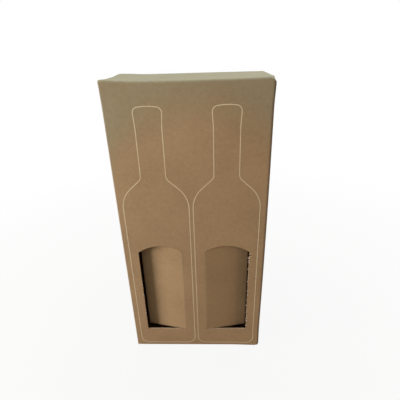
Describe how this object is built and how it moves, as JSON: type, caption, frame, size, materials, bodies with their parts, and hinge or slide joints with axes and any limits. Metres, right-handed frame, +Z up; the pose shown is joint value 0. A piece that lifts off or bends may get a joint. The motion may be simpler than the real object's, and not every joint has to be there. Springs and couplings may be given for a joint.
{
  "type": "bottle shipping box",
  "caption": "Tall brown card carton that holds bottles side by side, with a hinged tuck lid, an interlocking base and arched windows whose flaps fold inward.",
  "frame": {"origin": "middle of the base, on the surface the box stands on", "axes": "+Z up the box's height, the front with its windows faces -Y, +X to the right seen from the front"},
  "size_m": [0.17, 0.086, 0.354],
  "materials": {
    "brown_board": "uncoated brown fine-flute corrugated board, matt"
  },
  "bodies": {
    "carton": {"carton": "brown_board"},
    "lid": {"lid": "brown_board"},
    "window_flap_left": {"window_flap_left": "brown_board"},
    "window_flap_right": {"window_flap_right": "brown_board"}
  },
  "joints": [
    {"name": "lid_crease", "type": "hinge", "parent": "carton", "child": "lid", "pos_m": [0, -0.043, 0.3511], "axis": [1, 0, 0], "range_deg": [0, 180]},
    {"name": "left_window_crease", "type": "hinge", "parent": "carton", "child": "window_flap_left", "pos_m": [-0.0128, -0.0415, 0.0955], "axis": [0, 0, -1], "range_deg": [-9, 80]},
    {"name": "right_window_crease", "type": "hinge", "parent": "carton", "child": "window_flap_right", "pos_m": [0.0128, -0.0415, 0.0955], "axis": [0, 0, 1], "range_deg": [-9, 80]}
  ]
}
